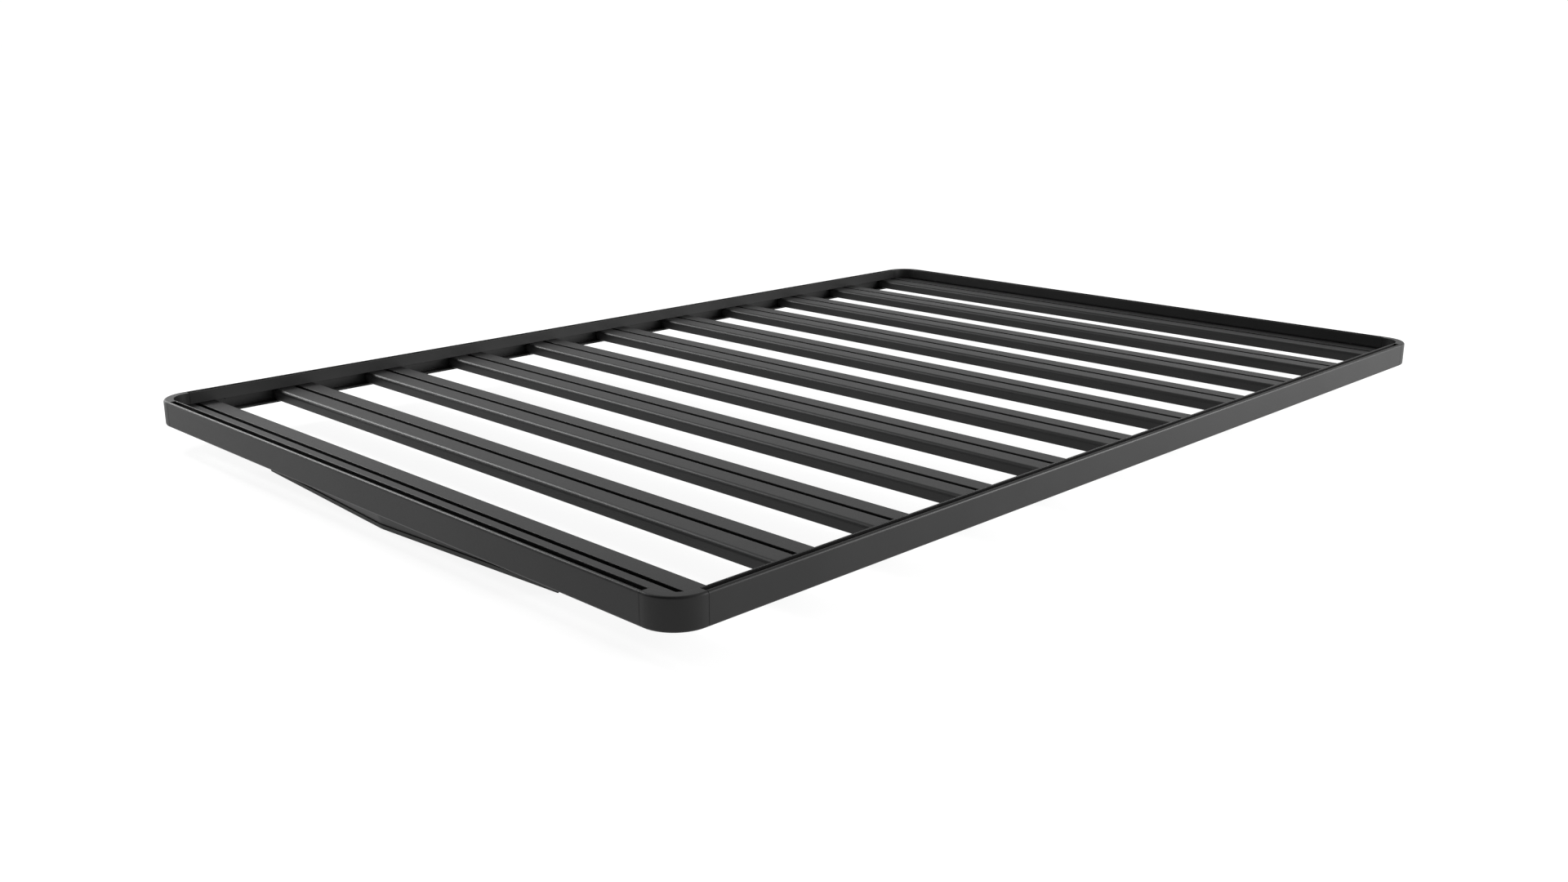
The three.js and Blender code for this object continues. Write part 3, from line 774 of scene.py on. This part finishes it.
LEAN_UP = Vector((0, -math.sin(DEFLECTOR_LEAN), math.cos(DEFLECTOR_LEAN)))
LEAN_OUT = X_AXIS.cross(LEAN_UP)
FOLD_FOOT = Vector((0, -HALF_LENGTH + DEFLECTOR_SETBACK * MM, FRAME_BOTTOM - DEFLECTOR_DROP * MM))


def swept_back(x):
    """How far behind the fold the arms lie at x, both in millimetres, with the fold rounded."""
    slope = math.tan(DEFLECTOR_SWEEP)
    if abs(x) >= FOLD_HALF_WIDTH:
        return abs(x) * slope
    return slope * (FOLD_HALF_WIDTH * FOLD_HALF_WIDTH + x * x) / (2 * FOLD_HALF_WIDTH)


def fold_places():
    """The x places, in millimetres, of the creases that make the rounded fold."""
    return [FOLD_HALF_WIDTH * (2 * step / FOLD_STEPS - 1) for step in range(FOLD_STEPS + 1)]


class Arm:
    """One arm of the deflector: its directions, and the place of its bracket."""

    def __init__(self, side):
        self.side = side
        sign = -1 if side == "left" else 1
        turn = Matrix.Rotation(sign * DEFLECTOR_SWEEP, 3, "Z")
        self.along = turn @ X_AXIS
        self.behind = turn @ Y_AXIS
        self.up = turn @ LEAN_UP
        self.out = turn @ LEAN_OUT
        self.foot = FOLD_FOOT + self.along * sign * BRACKET_PLACE * MM
        self.bolt_face = self.foot + self.up * PLATE_BOLT_HEIGHT * MM


ARMS = (Arm("left"), Arm("right"))


def build_plate():
    """The folded plate: cut flat, creased along its fold, then swept back at both sides."""
    half = DEFLECTOR_HALF_WIDTH
    top_half = half - END_TAPER
    radius = PLATE_CORNER_RADIUS
    corners = [
        (-half, 0, radius),
        (half, 0, radius),
        (top_half, PLATE_HEIGHT, radius),
        (-top_half, PLATE_HEIGHT, radius),
    ]
    back = FOLD_FOOT - LEAN_OUT * PLATE_THICKNESS * MM
    piece = bar("deflector_plate_sheet", rounded(corners, FINE_ROUND_STEPS), back, FOLD_FOOT, X_AXIS, LEAN_UP)
    bm = bmesh.new()
    bm.from_mesh(piece.data)
    for x in fold_places():
        geometry = [*bm.verts, *bm.edges, *bm.faces]
        bmesh.ops.bisect_plane(
            bm, geom=geometry, plane_co=X_AXIS * x * MM, plane_no=X_AXIS, dist=WELD_DISTANCE,
        )
    for vertex in bm.verts:
        vertex.co.y += swept_back(vertex.co.x / MM) * MM
    bm.to_mesh(piece.data)
    bm.free()
    radius = SCREW_RADIUS + HOLE_CLEARANCE
    drill(piece, [hole_cutter(arm.bolt_face, arm.out, radius, PLATE_THICKNESS * 4) for arm in ARMS])
    finish_surface(piece, SHEET)
    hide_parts("deflector_plate")


def build_trim():
    """The channel-shaped rubber that grips the plate's lower edge and follows its fold."""
    outer = PLATE_THICKNESS / 2 + GAP + TRIM_WALL
    inner = PLATE_THICKNESS / 2 + GAP
    corners = [
        (-outer, -GAP - TRIM_WALL, TRIM_OUTER_ROUND),
        (outer, -GAP - TRIM_WALL, TRIM_OUTER_ROUND),
        (outer, TRIM_COVER, BEAD_ROUND),
        (inner, TRIM_COVER, BEAD_ROUND),
        (inner, -GAP, CHANNEL_INSIDE_ROUND),
        (-inner, -GAP, CHANNEL_INSIDE_ROUND),
        (-inner, TRIM_COVER, BEAD_ROUND),
        (-outer, TRIM_COVER, BEAD_ROUND),
    ]
    middle = FOLD_FOOT - LEAN_OUT * PLATE_THICKNESS * MM / 2
    half = DEFLECTOR_HALF_WIDTH - TRIM_END
    soft = TRIM_END_SOFTNESS
    places = [(-half, soft), (soft - half, 0)]
    places += [(x, 0) for x in fold_places()]
    places += [(half - soft, 0), (half, soft)]
    stations = []
    for x, amount in places:
        origin = middle + (X_AXIS * x + Y_AXIS * swept_back(x)) * MM
        stations.append((place(origin, LEAN_OUT, LEAN_UP), amount))
    piece = sweep("deflector_edge_trim_rubber", rounded(corners), stations)
    finish_surface(piece, RUBBER)
    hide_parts("deflector_edge_trim")


def behind_plate(rise, depth):
    """A (y, z) point in millimetres from an arm's foot, up the plate and behind its front."""
    sine, cosine = math.sin(DEFLECTOR_LEAN), math.cos(DEFLECTOR_LEAN)
    return (-rise * sine + depth * cosine, rise * cosine + depth * sine)


def rise_at(height, depth):
    """How far up the plate a point depth behind its front is at height."""
    return (height - depth * math.sin(DEFLECTOR_LEAN)) / math.cos(DEFLECTOR_LEAN)


def build_bracket(arm):
    """A bent angle: its leg follows the plate and its foot lies under the front slat."""
    node = f"deflector_{arm.side}_bracket"
    face = PLATE_THICKNESS + GAP
    back = face + FLANGE_THICKNESS
    foot = DEFLECTOR_DROP
    bolt = node_centre(f"deflector_{arm.side}_slat_bolt")
    rear = (bolt - arm.foot).dot(arm.behind) / MM + BRACKET_FOOT
    corners = [
        (*behind_plate(BRACKET_LEG_START, face), EDGE_ROUND),
        (*behind_plate(BRACKET_LEG_START, back), EDGE_ROUND),
        (*behind_plate(rise_at(foot, back), back), BEND_INSIDE),
        (rear, foot, EDGE_ROUND),
        (rear, foot + FLANGE_THICKNESS, EDGE_ROUND),
        (*behind_plate(rise_at(foot + FLANGE_THICKNESS, face), face), BEND_OUTSIDE),
    ]
    half = arm.along * BRACKET_WIDTH * MM / 2
    outline = rounded(corners, FINE_ROUND_STEPS)
    piece = bar(f"{node}_angle", outline, arm.foot - half, arm.foot + half, arm.behind, Z_AXIS)
    bolt.z = FRAME_BOTTOM + FLANGE_THICKNESS * MM / 2
    leg_back = arm.bolt_face - arm.out * back * MM
    drill(piece, [
        hole_cutter(bolt, Z_AXIS, BOLT_RADIUS + HOLE_CLEARANCE, FLANGE_THICKNESS * 3),
        hole_cutter(leg_back, arm.out, SCREW_RADIUS + HOLE_CLEARANCE, FLANGE_THICKNESS * 4),
    ])
    finish_surface(piece, SHEET)
    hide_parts(node)


def build_plate_bolt(arm):
    """The bolt that holds the plate to its bracket, with a hexagon nut behind."""
    node = f"deflector_{arm.side}_plate_bolt"
    nut_face = PLATE_THICKNESS + GAP + FLANGE_THICKNESS + GAP
    reach = nut_face + HEX_NUT_HEIGHT + TIP_REACH + GAP
    bolt = button_bolt(
        f"{node}_button", arm.bolt_face + arm.out * GAP * MM, -arm.out, SCREW_RADIUS, SCREW_HEAD_RADIUS,
        SCREW_HEAD_HEIGHT, SCREW_SOCKET_ACROSS, reach,
    )
    matrix = place(arm.bolt_face - arm.out * nut_face * MM, arm.along, arm.out.cross(arm.along))
    across = SCREW_HEAD_RADIUS * math.cos(math.pi / 6)
    bore = SCREW_RADIUS + NUT_BORE_CLEARANCE
    top = -HEX_NUT_HEIGHT
    rings = [
        (bore + NUT_BEVEL, 0, False),
        (across * NUT_FACE, 0, False),
        (across, -NUT_BEVEL, True),
        (across, top + NUT_BEVEL, True),
        (across * NUT_FACE, top, False),
        (bore + NUT_BEVEL, top, False),
        (bore, top + NUT_BEVEL, False),
        (bore, -NUT_BEVEL, False),
    ]
    nut = turned(f"{node}_nut", rings, matrix, closed=True)
    finish_surface(nut, STEEL, NUT_SHARP_ANGLE)
    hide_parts(node)
    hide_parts(node)


build_plate()
build_trim()
for deflector_arm in ARMS:
    build_bracket(deflector_arm)
    build_plate_bolt(deflector_arm)


# ---------------------------------------------------------------- stage, light and camera

FLOOR_REACH = 60.0
FLOOR_GLOW = 0.90
WORLD_GLOW = 1.02
SKY_GLOW = 0.7  # of the world's glow, high up
FRONT_GLOW = 0.05  # of the world's glow, high up at the front
FLOOR_DARK = (0.20, 0.20, 0.20)
FLOOR_LIGHT = (0.22, 0.22, 0.22)
WHITE = (1, 1, 1)


def build_floor():
    """A plain white floor that glows like a light table, so shadows on it are faint."""
    bm = bmesh.new()
    corners = [(-1, -1), (1, -1), (1, 1), (-1, 1)]
    bm.faces.new([bm.verts.new((x * FLOOR_REACH, y * FLOOR_REACH, 0)) for x, y in corners])
    floor = new_object("floor", bm)
    material, tree, shader = new_material("pale_floor")
    mottle(tree, shader, noise(tree, scale=2.5), FLOOR_DARK, FLOOR_LIGHT)
    shader.inputs["Roughness"].default_value = 0.9
    shader.inputs["Specular IOR Level"].default_value = 0.1
    shader.inputs["Emission Color"].default_value = (*WHITE, 1)
    shader.inputs["Emission Strength"].default_value = FLOOR_GLOW
    floor.data.materials.append(material)


def build_world():
    """A white surround, darker above the horizon at the front, like a tent open on that side."""
    world = bpy.data.worlds.new("studio")
    world.use_nodes = True
    tree = world.node_tree
    background = tree.nodes["Background"]
    background.inputs["Strength"].default_value = WORLD_GLOW
    direction = tree.nodes.new("ShaderNodeTexCoord")
    parts = tree.nodes.new("ShaderNodeSeparateXYZ")
    link(tree, direction, "Generated", parts, "Vector")
    front = spread(tree, parts, 0, 1, start=0.25, end=-0.45, output="Y")
    above = spread(tree, parts, 0, 1, start=0.12, end=0.3, output="Z")
    both = tree.nodes.new("ShaderNodeMath")
    both.operation = "MULTIPLY"
    link(tree, front, "Result", both, 0)
    link(tree, above, "Result", both, 1)
    sky = tint(tree, above, "Result", WHITE, (SKY_GLOW, SKY_GLOW, SKY_GLOW))
    shade = tint(tree, both, "Value", WHITE, (FRONT_GLOW, FRONT_GLOW, FRONT_GLOW))
    link(tree, sky, MIX_RESULT, shade, MIX_FIRST)
    link(tree, shade, MIX_RESULT, background, "Color")
    bpy.context.scene.world = world


def build_light(name, position, width, depth, watts):
    """A soft box aimed at the frame's origin."""
    data = bpy.data.lights.new(name, "AREA")
    data.shape = "RECTANGLE"
    data.size, data.size_y = width, depth
    data.energy = watts
    lamp = bpy.data.objects.new(name, data)
    lamp.location = position
    lamp.rotation_euler = (-Vector(position)).to_track_quat("-Z", "Y").to_euler()
    bpy.context.scene.collection.objects.link(lamp)


CAMERA_FROM_TOP_CENTRE = Vector((1.987, -2.164, 0.667))
CAMERA_AZIMUTH = math.radians(44.58)
CAMERA_ELEVATION = math.radians(15.69)
CAMERA_LENS = 33.93  # millimetres, for the sensor below
SENSOR_WIDTH = 36.0


def build_camera():
    """The camera that was fitted to the photo."""
    data = bpy.data.cameras.new("camera")
    data.lens = CAMERA_LENS
    data.sensor_width = SENSOR_WIDTH
    camera = bpy.data.objects.new("camera", data)
    camera.location = CAMERA_FROM_TOP_CENTRE + Z_AXIS * FRAME_TOP
    camera.rotation_euler = (math.pi / 2 - CAMERA_ELEVATION, 0, CAMERA_AZIMUTH)
    bpy.context.scene.collection.objects.link(camera)
    bpy.context.scene.camera = camera


build_floor()
build_world()
build_light("edge_softbox", (-3.2, -0.95, 2.3), width=1.2, depth=1.2, watts=95)
build_light("left_softbox", (-3.1, -1.25, 0.5), width=1.6, depth=1.3, watts=14)
build_light("right_softbox", (2.8, 2.4, 0.9), width=1.5, depth=1.5, watts=120)
bpy.context.scene.view_settings.view_transform = "Standard"
build_camera()
